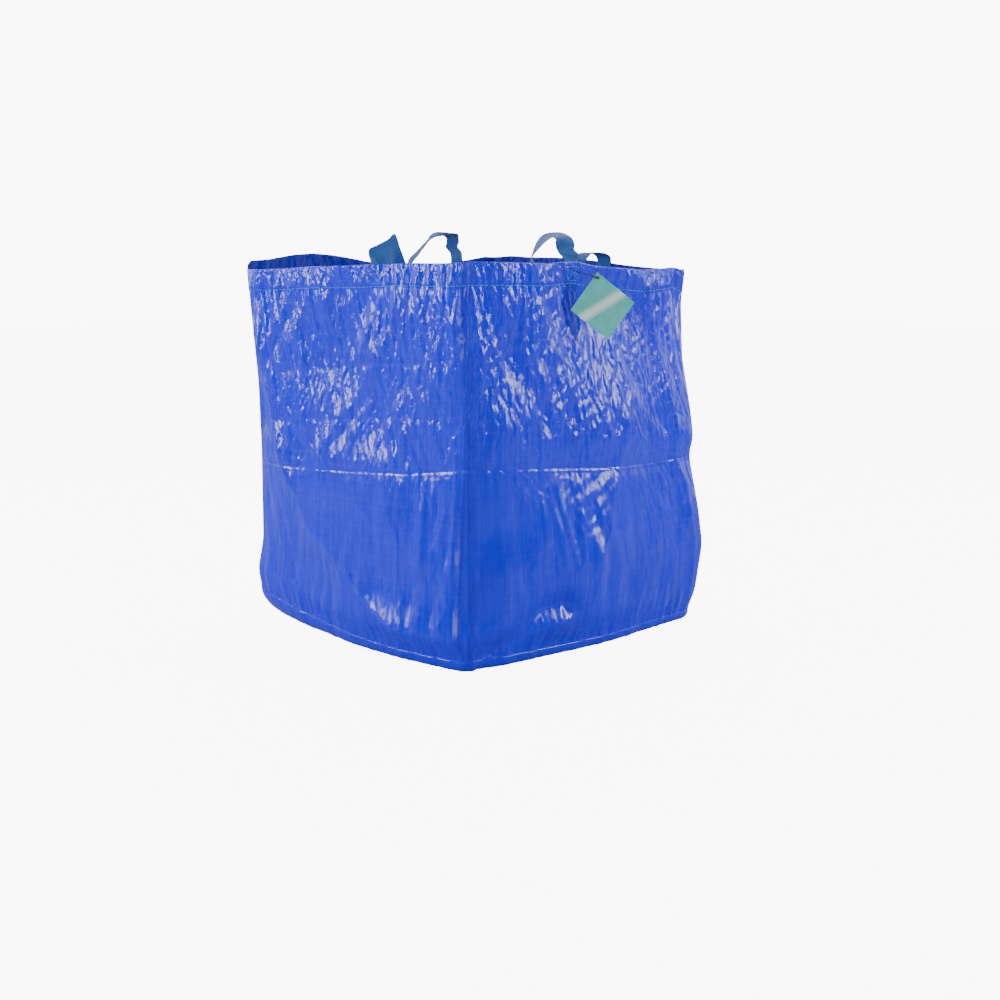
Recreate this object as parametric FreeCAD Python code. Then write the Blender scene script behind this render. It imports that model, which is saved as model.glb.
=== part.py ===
"""Fruit picking bag: a square open bag of woven polyethylene fabric, with two webbing handles and a tag.

The origin is at the centre of the underside of the base, +Z up.
The front panel faces -Y and the right panel faces +X.
"""

import math
import os

import FreeCAD
import Part

from FreeCAD import Vector

os.makedirs("parts", exist_ok=True)

# Bag
SIDE = 450.0  # from corner seam to corner seam
FABRIC = 1.2  # wall of the panel solids; the fabric itself is about 0.25
GAP = 0.2  # between neighbouring panel solids, bridged by the sewn seams
FLAT = 392.0  # side of the flat part of the base
HEM = 31.0  # depth of the turned-in hem
BULGE_RIM = 5.0  # how far a panel's middle stands out at the rim
BULGE_LOW = 17.0  # and in its lower half
BASE_SAG = 12.0  # height of the base seam at the middle of a side
# Corners, in the order front-left, front-right, back-right, back-left
RIM_HEIGHTS = (516.0, 529.0, 516.0, 532.0)
SEAM_HEIGHTS = (52.0, 17.0, 14.0, 22.0)
RIM_CORNERS = ((-233.0, -233.0), (225.0, -225.0), (223.0, 223.0), (-200.0, 236.0))
GRID_ACROSS = 8  # spans of a panel's grid
GRID_UP = 8

# Sewn seams and stitches
ALLOWANCE = 8.0  # depth of a corner seam, standing inwards
SEAM_THICK = 1.6
THREAD = 0.9
CROSS_TALL = 18.0  # the sewn box at a handle end
CROSS_DOWN = 6.0  # from the rim to that box

# Handles
WEBBING = 27.0
WEB_THICK = 1.5
LEFT_FEET = (398.0, 291.0)  # along the rim, from the corner that the handle spans
RIGHT_FEET = (258.0, 168.0)
FOOT_INSET = 15.0  # from a foot to the middle of the loop's leg, along the handle
FOOT_RISE = 11.0  # how far the sewn end stands above the rim
TAIL = 26.0  # how far the sewn end goes down into the hem
CREST_RADIUS = 12.0
AXIS_HEIGHT = 553.0  # the line that a handle swings about
LEFT_DROP = 97.0  # from that line to the middle of the loop's lowest part
RIGHT_DROP = 190.0

# Swing tag on its string
TAG_WIDE = 67.0
TAG_TALL = 62.0
TAG_THICK = 0.8
TAG_HOLE = 1.9
TAG_ROLL = 37.0  # its wide edge falls this far below the level
TAG_TURN = 62.0  # plan direction of the tag's face, from +X
HOLE_INSET = 5.3
HOLE_AT = Vector(261.0, -19.0, 508.5)
STRING = 1.0
LOCK_RADIUS = 1.3
LOCK_STAND = 0.8  # between the lock and the card
LOCK_BEHIND = 0.5  # between the card and the lock's stop behind it
PEG_RADIUS = 1.0
STOP_RADIUS = 3.2
STOP_THICK = 1.0
STRING_ROUTE = (
    Vector(231.0, -62.0, 522.0),
    Vector(239.0, -61.0, 522.5),
    Vector(247.5, -54.0, 519.0),
    Vector(254.0, -43.5, 514.0),
    Vector(261.1, -31.6, 511.4),
)

HALF = SIDE / 2
BASE_CORNERS = ((-HALF, -HALF), (HALF, -HALF), (HALF, HALF), (-HALF, HALF))
OUTWARDS = (Vector(0, -1, 0), Vector(1, 0, 0), Vector(0, 1, 0), Vector(-1, 0, 0))
FOOT_INWARDS = 2 * FABRIC + WEB_THICK / 2 + 0.7  # from a panel's outside to the middle of a handle end
FACES = ("front", "right", "back", "left")


def turned(point, quarter_turns):
    """A point of the front face, moved to another face."""
    x, y = point.x, point.y
    for _ in range(quarter_turns % 4):
        x, y = -y, x
    return Vector(x, y, point.z)


def between(values, face, across):
    """A height at a place along a face's edge, from the heights at its two corners."""
    first, last = values[face], values[(face + 1) % 4]
    share = (across + 1) / 2
    share = share * share * (3 - 2 * share)
    return first + (last - first) * share


def seam_height(face, across):
    """Height of the base seam, which is low in the middle of a side and rises to the corners."""
    first, last = SEAM_HEIGHTS[face], SEAM_HEIGHTS[(face + 1) % 4]
    left = ((1 - across) / 2) ** 3
    right = ((1 + across) / 2) ** 3
    return BASE_SAG + (first - BASE_SAG) * left + (last - BASE_SAG) * right


def bulge(up):
    """How far the middle of a panel stands out, from the seam (0) to the rim (1)."""
    low = BULGE_LOW * math.sin(math.pi * min(1.0, up + 0.12)) ** 0.7
    return BULGE_RIM * up * up + low * (1 - up)


def corner(index, up, inwards=0.0):
    """A corner's place in plan, from the base seam (0) to the rim (1)."""
    base_x, base_y = BASE_CORNERS[index % 4]
    rim_x, rim_y = RIM_CORNERS[index % 4]
    inset = Vector(math.copysign(inwards, base_x), math.copysign(inwards, base_y), 0)
    return Vector(base_x + (rim_x - base_x) * up, base_y + (rim_y - base_y) * up, 0) - inset


def wall(face, across, up, inwards=0.0):
    """A point on a panel: across runs from -1 to 1, up from 0 at the base seam to 1 at the rim."""
    low = seam_height(face, across)
    height = low + (between(RIM_HEIGHTS, face, across) - low) * up
    start = corner(face, up, inwards)
    chord = start + (corner(face + 1, up, inwards) - start) * ((across + 1) / 2)
    return chord + OUTWARDS[face] * (bulge(up) * (1 - across * across)) + Vector(0, 0, height)


def up_at(face, across, height):
    """The share of a panel's height where it reaches a height."""
    low = seam_height(face, across)
    return (height - low) / (between(RIM_HEIGHTS, face, across) - low)


def curve(points):
    """A smooth edge through points."""
    spline = Part.BSplineCurve()
    last = len(points) - 1
    spline.interpolate(Points=points, Parameters=[i / last for i in range(last + 1)])
    return spline.toShape()


def closed(faces):
    """The solid inside faces that meet edge to edge."""
    sewn = Part.Compound(faces)
    sewn.sewShape(0.01)
    solid = Part.Solid(sewn.Shells[0])
    if solid.Volume < 0:
        solid.reverse()
    return solid


def bar(rows):
    """A solid along four long edges, each given by its points, in order round its section."""
    edges = [curve(points) for points in rows]
    sides = [Part.makeRuledSurface(edges[i], edges[(i + 1) % 4]) for i in range(4)]
    ends = []
    for i in (0, -1):
        corners = [points[i] for points in rows]
        first = Part.LineSegment(corners[0], corners[1]).toShape()
        second = Part.LineSegment(corners[3], corners[2]).toShape()
        ends.append(Part.makeRuledSurface(first, second))
    return closed(sides + ends)


def skin(rows):
    """A smooth face through a grid of points."""
    surface = Part.BSplineSurface()
    surface.interpolate(rows)
    return surface.toShape()


def halfway(edge):
    """The point at the middle of an edge."""
    return edge.valueAt((edge.FirstParameter + edge.LastParameter) / 2)


def facing(edge, edges):
    """The edge of another face that lies nearest to this one."""
    return min(edges, key=lambda other: halfway(edge).distanceToPoint(halfway(other)))


def sheet(outer_rows, inner_rows):
    """A thin curved solid between two grids of points."""
    outer = skin(outer_rows)
    inner = skin(inner_rows)
    rims = [Part.makeRuledSurface(edge, facing(edge, inner.Edges)) for edge in outer.Edges]
    return closed([outer, inner] + rims)


def export(shape, node):
    """Writes one node, after checking it."""
    if not shape.isValid():
        raise ValueError(node + " is not valid")
    print(node, "solids", len(shape.Solids), "volume", round(shape.Volume, 1))
    shape.exportStep("parts/" + node + ".step")


def shares(count, low=-1.0, high=1.0):
    """Evenly spaced values from low to high."""
    return [low + (high - low) * i / count for i in range(count + 1)]


def panel(face):
    """One wall of the bag, ending a little short of the corner seams."""
    reach = 1 - GAP / SIDE
    across = [reach * a for a in shares(GRID_ACROSS)]
    ups = shares(GRID_UP, 0.0)
    outer = [[wall(face, a, u) for a in across] for u in ups]
    inner = [[wall(face, a, u, FABRIC) for a in across] for u in ups]
    return sheet(outer, inner)


def hem(face):
    """The turned-in top of a panel, lying on its inside."""
    reach = 1 - 2.5 * ALLOWANCE / SIDE
    rows = []
    near = FABRIC + GAP
    far = 2 * FABRIC
    for inwards, down in ((near, 0.0), (far, 0.0), (far, HEM), (near, HEM)):
        line = []
        for a in shares(GRID_ACROSS):
            top = between(RIM_HEIGHTS, face, reach * a)
            line.append(wall(face, reach * a, up_at(face, reach * a, top - down), inwards))
        rows.append(line)
    return bar(rows)


def base():
    """The base: a flat middle, and four borders that curl up to the seam."""
    flat = FLAT / 2
    drop = Vector(0, 0, -GAP)
    thick = Vector(0, 0, FABRIC)
    low_faces, high_faces, rims, low_inner, high_inner = [], [], [], [], []
    for face in range(4):
        edge_points = [wall(face, a, 0.0) + drop for a in shares(GRID_ACROSS)]
        low_outer = curve([p - thick for p in edge_points])
        high_outer = curve(edge_points)
        start = turned(Vector(-flat, -flat, 0), face)
        end = turned(Vector(flat, -flat, 0), face)
        low_edge = Part.LineSegment(start, end).toShape()
        high_edge = Part.LineSegment(start + thick, end + thick).toShape()
        low_faces.append(Part.makeRuledSurface(low_edge, low_outer))
        high_faces.append(Part.makeRuledSurface(high_edge, high_outer))
        rims.append(Part.makeRuledSurface(low_outer, high_outer))
        low_inner.append(low_edge)
        high_inner.append(high_edge)
    middle = [Part.Face(Part.Wire(low_inner)), Part.Face(Part.Wire(high_inner))]
    return closed(low_faces + high_faces + rims + middle)


def corner_seam(face):
    """The sewn seam at the corner where a face ends: its allowance stands inwards."""
    half = SEAM_THICK / 2 * math.sqrt(0.5)
    rows = []
    for depth, side in ((0.0, -half), (0.0, half), (ALLOWANCE, half), (ALLOWANCE, -half)):
        inward = depth * math.sqrt(0.5)
        line = []
        for up in shares(GRID_UP, 0.004, 0.985):
            shift = turned(Vector(side - inward, inward + side, 0), face)
            line.append(wall(face, 1.0, up) + shift)
        rows.append(line)
    return bar(rows)


def base_seam(face):
    """The sewn seam between a panel and the base, a low roll along the outside."""
    rows = []
    for out, rise in ((0.9, -2.2), (0.9, 1.6), (-0.5, 1.6), (-0.5, -2.2)):
        line = []
        for a in shares(GRID_ACROSS, -0.985, 0.985):
            line.append(wall(face, a, 0.0, -out) + Vector(0, 0, rise))
        rows.append(line)
    return bar(rows)


def hem_stitching():
    """One row of thread round the bag, at the lower edge of the hem."""
    rows_of_faces = []
    for face in range(4):
        rows = []
        for out, rise in ((0.5, 0.0), (0.5, THREAD), (-0.4, THREAD), (-0.4, 0.0)):
            line = []
            for a in shares(GRID_ACROSS, -0.985, 0.985):
                height = between(RIM_HEIGHTS, face, a) - HEM + 3.0 + rise
                line.append(wall(face, a, up_at(face, a, height), -out))
            rows.append(line)
        rows_of_faces.append(bar(rows))
    return Part.Compound(rows_of_faces)


def foot_place(face, side, distance):
    """Frame of a sewn handle end: its middle on the panel at the rim, the rim's direction and outwards."""
    half_rim = (corner(face + 1, 1.0) - corner(face, 1.0)).Length / 2
    across = side * (1 - distance / half_rim)
    top = between(RIM_HEIGHTS, face, across)
    half = WEBBING / 2 / half_rim
    start = wall(face, across - half, 1.0)
    end = wall(face, across + half, 1.0)
    along = Vector(end.x - start.x, end.y - start.y, 0).normalize()
    out = Vector(along.y, -along.x, 0)
    middle = (start + end) * 0.5
    return Vector(middle.x, middle.y, top), along, out


def block(middle, along, out, wide, thick, low, high):
    """An upright flat block, its middle given in plan."""
    centre = Vector(middle.x, middle.y, 0)
    corners = []
    for side, depth in ((-0.5, -0.5), (0.5, -0.5), (0.5, 0.5), (-0.5, 0.5)):
        corners.append(centre + along * (side * wide) + out * (depth * thick) + Vector(0, 0, low))
    outline = Part.makePolygon(corners + [corners[0]])
    return Part.Face(outline).extrude(Vector(0, 0, high - low))


def handle_end(face, side, distance):
    """The end of a webbing handle, sewn on the inside of the hem and standing a little above the rim."""
    rim, along, out = foot_place(face, side, distance)
    middle = rim - out * FOOT_INWARDS
    return block(middle, along, out, WEBBING, WEB_THICK, rim.z - TAIL, rim.z + FOOT_RISE)


def handle_stitching(face, side, distance):
    """A sewn box with a cross in it, through the panel and the handle end."""
    rim, along, out = foot_place(face, side, distance)
    wide = WEBBING - 6.0
    tall = CROSS_TALL
    centre = rim + out * 0.2
    centre.z = rim.z - CROSS_DOWN - tall / 2
    long = math.hypot(wide, tall) - 1.0
    bars = []
    for shift in (-0.5, 0.5):
        place = centre + along * (shift * wide)
        bars.append(block(place, along, out, THREAD, THREAD, centre.z - tall / 2, centre.z + tall / 2))
        low = centre.z + shift * tall - THREAD / 2
        bars.append(block(centre, along, out, wide, THREAD, low, low + THREAD))
        diagonal = block(centre, along, out, THREAD, THREAD, centre.z - long / 2, centre.z + long / 2)
        diagonal.rotate(centre, out, 2 * shift * math.degrees(math.atan2(wide, tall)))
        bars.append(diagonal)
    return bars[0].fuse(bars[1:]).removeSplitter()


def handle_loop(face, feet, drop):
    """A webbing handle across a corner: two crests above the rim, and a loop that hangs inside the bag.

    It is made about the line that it swings on, with the middle of the bag towards +Y, then put in place.
    """
    middle, along, reach = swing_line(face, feet)
    half = WEBBING / 2
    loop = half_ellipse(reach + half, drop + half).cut(half_ellipse(reach - half, drop - half))
    loop.translate(Vector(0, CREST_RADIUS + WEB_THICK / 2, 0))
    pieces = [loop]
    for side in (-1, 1):
        near = CREST_RADIUS - WEB_THICK / 2
        strip = Part.makePlane(WEBBING, WEB_THICK, Vector(side * reach - half, near, 0))
        pieces.append(strip.revolve(Vector(0, 0, 0), Vector(1, 0, 0), 180))
    handle = pieces[0].fuse(pieces[1:]).removeSplitter()
    handle.rotate(Vector(0, 0, 0), Vector(0, 0, 1), math.degrees(math.atan2(along.y, along.x)))
    handle.translate(middle)
    return handle


def half_ellipse(wide, deep):
    """The lower half of an elliptic plate in the XZ plane, one webbing thick, ending at Y = 0."""
    axes = sorted((Vector(wide, 0, 0), Vector(0, deep, 0)), key=lambda axis: -axis.Length)
    ring = Part.Ellipse(axes[0], axes[1], Vector(0, 0, 0)).toShape()
    plate = Part.Face(Part.Wire([ring])).extrude(Vector(0, 0, WEB_THICK))
    below = Part.makeBox(4 * wide, 2 * deep, 4 * WEB_THICK, Vector(-2 * wide, -2 * deep, -WEB_THICK))
    lower = plate.common(below)
    lower.rotate(Vector(0, 0, 0), Vector(1, 0, 0), 90)
    return lower


def swing_line(face, feet):
    """The line that a handle swings about: its middle, its direction, and half the width of the loop.

    The handle spans the corner after a face, and its feet are on that face and the next.
    """
    places = []
    for step, side in ((0, 1), (1, -1)):
        rim, along, out = foot_place((face + step) % 4, side, feet[step])
        places.append(rim - out * FOOT_INWARDS)
    along = places[1] - places[0]
    along.z = 0
    reach = along.Length / 2 - FOOT_INSET
    along.normalize()
    middle = (places[0] + places[1]) * 0.5 + Vector(-along.y, along.x, 0) * CREST_RADIUS
    return Vector(middle.x, middle.y, AXIS_HEIGHT), along, reach


def tag_facing():
    """The direction that the card's front faces."""
    turn = math.radians(TAG_TURN)
    return Vector(math.sin(turn), -math.cos(turn), 0)


def swing_tag():
    """The square card, hanging from a hole near one corner."""
    card = Part.makeBox(TAG_WIDE, TAG_THICK, TAG_TALL, Vector(-HOLE_INSET, 0, HOLE_INSET - TAG_TALL))
    hole = Part.makeCylinder(TAG_HOLE, 3 * TAG_THICK, Vector(0, -TAG_THICK, 0), Vector(0, 1, 0))
    card = card.cut(hole)
    card.rotate(Vector(0, 0, 0), Vector(0, 1, 0), TAG_ROLL)
    card.rotate(Vector(0, 0, 0), Vector(0, 0, 1), TAG_TURN)
    card.translate(HOLE_AT)
    return card


def tag_lock():
    """The moulded end of the string: a barrel in front of the card and a peg through its hole."""
    face = tag_facing()
    start = STRING_ROUTE[-1]
    peg_start = HOLE_AT + face * (LOCK_STAND + LOCK_RADIUS)
    run = peg_start - start
    barrel = Part.makeCylinder(LOCK_RADIUS, run.Length + 1.0, start, run)
    back = TAG_THICK + LOCK_BEHIND
    peg = Part.makeCylinder(PEG_RADIUS, LOCK_STAND + LOCK_RADIUS + back, peg_start, face * -1)
    stop = Part.makeCylinder(STOP_RADIUS, STOP_THICK, HOLE_AT - face * back, face * -1)
    return barrel.fuse([peg, stop]).removeSplitter()


def rounded_path(points):
    """Straight runs joined by tangent arcs, each as large as its two runs allow."""
    edges = []
    last = points[0]
    for before, corner, after in zip(points, points[1:], points[2:]):
        back = before - corner
        ahead = after - corner
        half_turn = (math.pi - back.getAngle(ahead)) / 2
        cut = 0.45 * min(back.Length, ahead.Length)
        radius = cut / math.tan(half_turn)
        back.normalize()
        ahead.normalize()
        start = corner + back * cut
        end = corner + ahead * cut
        bisector = (back + ahead).normalize()
        middle = corner + bisector * (radius / math.cos(half_turn) - radius)
        edges.append(Part.LineSegment(last, start).toShape())
        edges.append(Part.Arc(start, middle, end).toShape())
        print("string bend radius", round(radius, 1))
        last = end
    edges.append(Part.LineSegment(last, points[-1]).toShape())
    return Part.Wire(edges)


def tag_string():
    """The thin black string from the handle's foot to the tag."""
    path = rounded_path(STRING_ROUTE)
    ring = Part.Circle(STRING_ROUTE[0], STRING_ROUTE[1] - STRING_ROUTE[0], STRING / 2).toShape()
    tube = path.makePipeShell([Part.Wire([ring])], True, True)
    share = tube.Volume / (math.pi * STRING * STRING / 4 * path.Length)
    print("string length", round(path.Length, 1), "volume share", round(share, 3))
    return tube


def main():
    """Builds and writes every node."""
    for face, name in enumerate(FACES):
        following = FACES[(face + 1) % 4]
        export(panel(face), name + "_panel")
        export(hem(face), name + "_hem")
        export(base_seam(face), name + "_base_seam")
        export(corner_seam(face), "corner_seam_" + name + "_" + following)
    export(base(), "base_panel")
    export(hem_stitching(), "hem_stitching")
    for name, face, feet, drop, second in (
        ("left_handle", 3, LEFT_FEET, LEFT_DROP, "_front"),
        ("right_handle", 1, RIGHT_FEET, RIGHT_DROP, "_back"),
    ):
        export(handle_loop(face, feet, drop), name)
        for step, side, place in ((0, 1, "_side"), (1, -1, second)):
            at = (face + step) % 4
            export(handle_end(at, side, feet[step]), name + place + "_end")
            export(handle_stitching(at, side, feet[step]), name + place + "_stitching")
        print(name, "swings about", swing_line(face, feet))
    export(swing_tag(), "swing_tag")
    export(tag_lock(), "tag_lock")
    export(tag_string(), "tag_string")


main()
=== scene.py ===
"""Fruit picking bag: the looks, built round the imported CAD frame.

Shapes are worked out in mm and become metres when a mesh is made. Materials, lights and camera are in metres.
"""
import math

import bpy
import numpy as np
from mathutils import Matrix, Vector


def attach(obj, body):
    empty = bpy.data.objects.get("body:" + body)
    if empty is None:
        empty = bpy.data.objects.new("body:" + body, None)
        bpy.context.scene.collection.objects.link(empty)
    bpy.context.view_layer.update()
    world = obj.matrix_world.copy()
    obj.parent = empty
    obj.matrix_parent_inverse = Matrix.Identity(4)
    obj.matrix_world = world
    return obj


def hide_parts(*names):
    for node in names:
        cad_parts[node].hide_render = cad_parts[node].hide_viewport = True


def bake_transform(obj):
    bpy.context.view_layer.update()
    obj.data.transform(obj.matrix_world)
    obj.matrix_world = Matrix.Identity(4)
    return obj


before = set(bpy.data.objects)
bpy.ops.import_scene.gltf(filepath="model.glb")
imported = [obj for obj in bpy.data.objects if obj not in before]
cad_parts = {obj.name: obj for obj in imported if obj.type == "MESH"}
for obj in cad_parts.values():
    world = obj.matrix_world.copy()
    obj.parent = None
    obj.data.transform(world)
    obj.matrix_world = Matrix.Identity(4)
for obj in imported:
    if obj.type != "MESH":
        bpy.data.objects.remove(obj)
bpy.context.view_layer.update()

MM = 0.001

# The bag's plan and heights, as in the CAD, in mm. Corners: front-left, front-right, back-right, back-left
HALF = 225.0
BASE_CORNERS = np.array([(-HALF, -HALF), (HALF, -HALF), (HALF, HALF), (-HALF, HALF)])
RIM_CORNERS = np.array([(-233.0, -233.0), (225.0, -225.0), (223.0, 223.0), (-200.0, 236.0)])
RIM_HEIGHTS = (516.0, 529.0, 516.0, 532.0)
SEAM_HEIGHTS = (52.0, 17.0, 14.0, 22.0)
OUTWARDS = np.array([(0.0, -1.0), (1.0, 0.0), (0.0, 1.0), (-1.0, 0.0)])
FACES = ("front", "right", "back", "left")
# Depth of the turned-in hem, in mm
HEM = 31.0
# Thickness of the cloth, and the width allowed for the webbing, in mm
FABRIC = 0.5
WEBBING = 29.0
# Place of each handle foot on its side, as a share of HALF from the side's middle
FOOT_PLACES = (0.26, -0.16, -0.25, 0.69)
# Radius in mm over which the sides turn in to each corner seam
CORNER_ROUNDS = (9.0, 26.0, 12.0, 12.0)
# Share of the rows that lie below the fold at mid height
CREASE_ROW = 0.47
# Rows and columns of cells on each side of the bag
COLS = 232
ROWS = 196


# ---------------------------------------------------------------- camera and cord

def add_camera():
    """The camera stands in front of the right-hand front corner and looks a little down."""
    data = bpy.data.cameras.new("camera")
    data.lens = 56.34
    data.sensor_width = 36.0
    camera = bpy.data.objects.new("camera", data)
    camera.location = (1.652, -1.594, 0.545)
    camera.rotation_euler = (math.radians(80.92), 0.0, math.radians(45.0))
    bpy.context.scene.collection.objects.link(camera)
    bpy.context.scene.camera = camera


# From the foot of the right handle to the lock on the card
STRING_ROUTE_MM = (
    (231.0, -62.0, 522.0),
    (239.0, -61.0, 522.5),
    (247.5, -54.0, 519.0),
    (254.0, -43.5, 514.0),
    (261.1, -31.6, 511.4),
)


def add_string():
    """The tag's thin string, from the handle's foot to the lock on the card."""
    data = bpy.data.curves.new("string", "CURVE")
    data.dimensions = "3D"
    data.bevel_depth = 0.5 * MM
    data.bevel_resolution = 4
    data.resolution_u = 16
    data.use_fill_caps = True
    spline = data.splines.new("NURBS")
    spline.points.add(len(STRING_ROUTE_MM) - 1)
    for point, place in zip(spline.points, STRING_ROUTE_MM):
        point.co = [c * MM for c in place] + [1.0]
    spline.order_u = 3
    spline.use_endpoint_u = True
    string = bpy.data.objects.new("string", data)
    bpy.context.scene.collection.objects.link(string)
    return string


# ---------------------------------------------------------------- numbers: noise and folds

def smooth(x):
    """Smooth step from 0 to 1."""
    x = np.clip(x, 0.0, 1.0)
    return x * x * (3 - 2 * x)


def noise(x, y, seed):
    """Smooth random values from 0 to 1, one cell to a unit."""
    table = np.random.default_rng(seed).random((64, 64))
    ix = np.floor(x).astype(int)
    iy = np.floor(y).astype(int)
    fx = smooth(x - ix)
    fy = smooth(y - iy)
    low = table[ix % 64, iy % 64] * (1 - fx) + table[(ix + 1) % 64, iy % 64] * fx
    high = table[ix % 64, (iy + 1) % 64] * (1 - fx) + table[(ix + 1) % 64, (iy + 1) % 64] * fx
    return low * (1 - fy) + high * fy


def folds(x, y, seed, count, low, high, spread, lean=0.0):
    """Sharp-edged random folds, from about -1 to 1.

    low and high are the narrowest and widest fold in mm. lean is their slant from upright and spread
    is how far each may turn from it, both in degrees.
    """
    rng = np.random.default_rng(seed)
    total = np.zeros_like(x)
    for k in range(count):
        turn = math.radians(lean + spread * rng.uniform(-1, 1))
        width = low + (high - low) * (k + 0.5) / count
        across = x * math.cos(turn) + y * math.sin(turn)
        along = -x * math.sin(turn) + y * math.cos(turn)
        warp = noise(across / (2.5 * width), along / (5.0 * width), seed + 11 * k + 1)
        u = across / width + rng.uniform(0, 1) + 1.6 * warp
        ridge = 1 - 2 * np.abs(u - np.floor(u + 0.5)) * 2
        mask = smooth(2.2 * noise(across / (1.6 * width), along / (3.5 * width), seed + 11 * k + 2) - 0.6)
        total += ridge * mask * width
    return total / (high * math.sqrt(count))


def side_of(x, y, line):
    """Signed distance to a line through points: positive to the right of its direction of travel."""
    best = np.full_like(x, 1e9)
    sign = np.ones_like(x)
    for (x0, y0), (x1, y1) in zip(line, line[1:]):
        dx, dy = x1 - x0, y1 - y0
        t = np.clip(((x - x0) * dx + (y - y0) * dy) / (dx * dx + dy * dy), 0, 1)
        distance = np.hypot(x - x0 - t * dx, y - y0 - t * dy)
        nearer = distance < best
        best = np.where(nearer, distance, best)
        cross = dx * (y - y0) - dy * (x - x0)
        sign = np.where(nearer, np.where(cross < 0, 1.0, -1.0), sign)
    return best * sign


# ---------------------------------------------------------------- the bag's shape

# How far each corner stands out along its diagonal, in mm, by share of the height
CORNER_OUT = (
    ((0.0, 1), (0.05, 5), (0.15, -5), (0.3, -7), (0.45, -9), (0.65, -9), (0.85, -4), (1.0, 0)),
    ((0.0, 14), (0.05, 15), (0.12, 9), (0.3, 2), (0.5, -1), (0.8, 1), (1.0, 0)),
    (
        (0.0, 7), (0.06, 18), (0.2, 29), (0.3, 23), (0.44, 10), (0.47, 8),
        (0.52, 14), (0.6, 9), (0.75, -4), (0.92, -7), (1.0, -2),
    ),
    ((0.0, 2), (0.2, 9), (0.42, 4), (0.47, -2), (0.55, 3), (0.8, -5), (1.0, 0)),
)
# Height of the fold round the middle, at five places across each side
CREASE_HEIGHTS = (
    (238, 240, 245, 252, 266),
    (266, 259, 250, 245, 246),
    (246, 250, 252, 256, 258),
    (258, 254, 248, 242, 238),
)
# Height of the base seam at the middle of a side
SEAM_MIDDLE = 14.0
# How far the rim of the left side stands above its plain line, by place across the side
LEFT_RIM_LIFT = (
    (-1, 0), (-0.95, 1), (-0.77, -4.5), (-0.55, -9.5), (-0.25, -6), (0.03, 2), (0.14, 7.5),
    (0.3, 15), (0.46, 20), (0.61, 19.5), (0.81, 14), (0.95, 12.5), (0.985, 7), (1, 0),
)


def corner_plan(index, up):
    """Plan position of a corner, from the base seam (0) to the rim (1)."""
    index = index % 4
    shares, outs = zip(*CORNER_OUT[index])
    out = np.zeros_like(up)
    shifts = (-0.02, -0.01, 0.0, 0.01, 0.02)
    for shift in shifts:
        out += np.interp(np.clip(up + shift, 0, 1), shares, outs) / len(shifts)
    diagonal = BASE_CORNERS[index] / (HALF * math.sqrt(2))
    start, end = BASE_CORNERS[index], RIM_CORNERS[index]
    x = start[0] + (end[0] - start[0]) * up + diagonal[0] * out
    y = start[1] + (end[1] - start[1]) * up + diagonal[1] * out
    return x, y


def between(values, face, across):
    """A height along a face's edge, from the heights at its two corners."""
    first, last = values[face], values[(face + 1) % 4]
    return first + (last - first) * smooth((across + 1) / 2)


def seam_height(face, across):
    """The base seam, low along the middle of a side and curling up to the heights at its corners."""
    first, last = SEAM_HEIGHTS[face], SEAM_HEIGHTS[(face + 1) % 4]
    up_first = (first - SEAM_MIDDLE) * ((1 - across) / 2) ** 3
    up_last = (last - SEAM_MIDDLE) * ((1 + across) / 2) ** 3
    return SEAM_MIDDLE + up_first + up_last


def bump(x, middle, width):
    """A bell-shaped hump, 1 at its middle."""
    return np.exp(-((x - middle) / width) ** 2)


def rim_height(face, across):
    """The rim waves a little, and lifts where the handles pull it."""
    height = between(RIM_HEIGHTS, face, across)
    if face == 0:
        height = height + 1.5 * bump(across, -0.3, 0.2) - 1.5 * bump(across, 0.8, 0.2)
    if face == 1:
        height = height + 5 * bump(across, -0.17, 0.14) - 2 * bump(across, 0.45, 0.15)
        height = height + 3 * bump(across, 0.82, 0.12)
        height = height - 3.5 * smooth((across - 0.85) / 0.15)
    if face == 2:
        height = height + 5 * bump(across, 0.1, 0.5) + 2 * bump(across, 0.75, 0.12)
    if face == 3:
        height = height + np.interp(across, *zip(*LEFT_RIM_LIFT))
    return height


def bulge(up):
    """How far the middle of a side stands out in mm: a little at the rim, and most low down."""
    rim_part = 5.0 * up * up
    belly = 17.0 * np.sin(np.pi * np.minimum(1.0, up + 0.12)) ** 0.7
    return rim_part + belly * (1 - up)


# Creases on the front and right sides: mm from the side's middle, and height
DIAGONAL = ((-220, 500), (-180, 350), (-145, 240), (-85, 160), (0, 105), (60, 65), (160, 15))
SECOND_CREASE = ((-155, 160), (-125, 80), (-70, 15))
RIGHT_TURN = ((60, 520), (45, 430), (70, 340), (45, 265), (5, 160), (-75, 35))
RIGHT_DENT = ((-205, 25), (-150, 50), (-110, 75), (-75, 80), (-40, 60))
RIGHT_CREASE = ((80, 520), (120, 490), (150, 400), (175, 300), (175, 245), (190, 210), (200, 40))


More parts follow.
